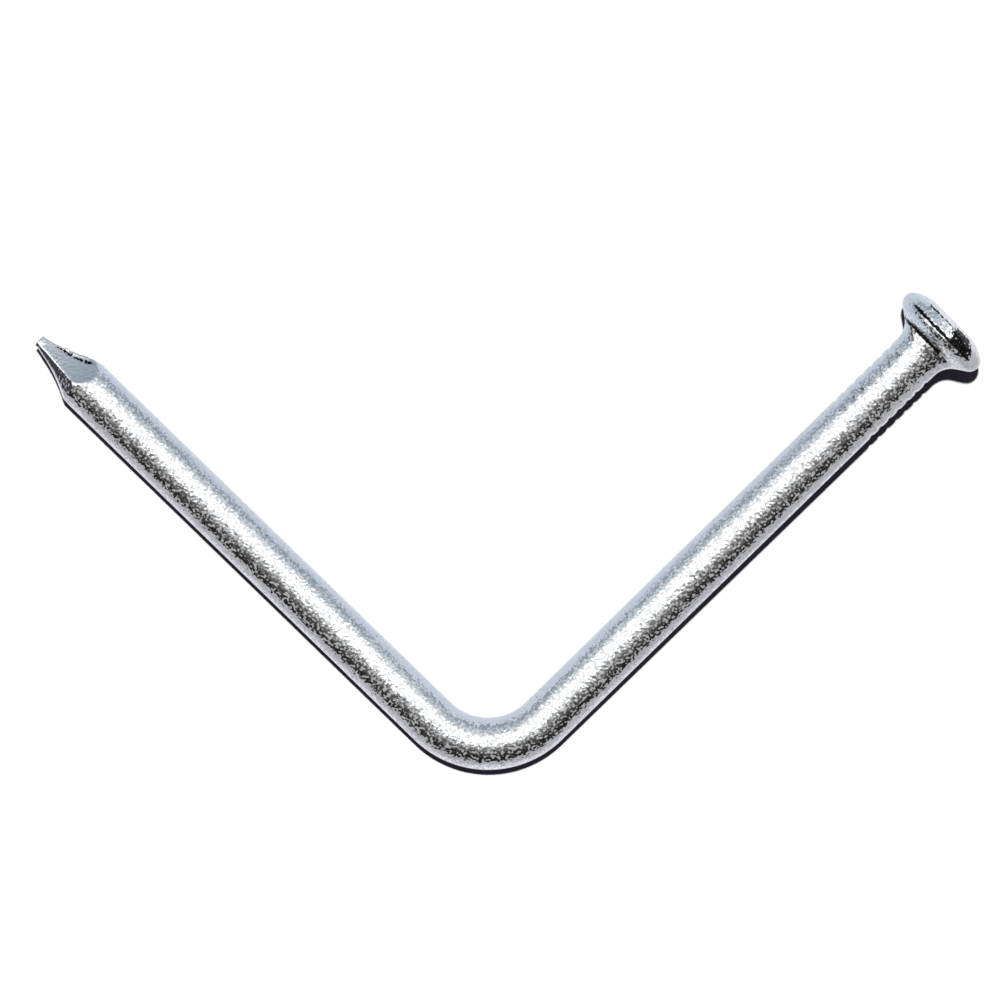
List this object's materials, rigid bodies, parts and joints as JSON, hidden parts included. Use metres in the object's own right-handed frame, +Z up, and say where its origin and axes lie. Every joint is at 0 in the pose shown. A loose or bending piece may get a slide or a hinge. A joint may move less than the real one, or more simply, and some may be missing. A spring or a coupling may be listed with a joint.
{
  "type": "bent nail",
  "caption": "Bright zinc-plated round wire nail with a domed head and diamond point, bent to about a right angle in the middle of its shank.",
  "frame": {"origin": "on the surface that the nail lies on, under the middle of its outline seen from above", "axes": "+Z up; +X from the point towards the head; the open side of the bend faces +Y"},
  "size_m": [0.076, 0.0382, 0.0082],
  "materials": {
    "zinc_plated_steel": "gloss"
  },
  "bodies": {
    "root": {"nail": "zinc_plated_steel"}
  },
  "joints": []
}
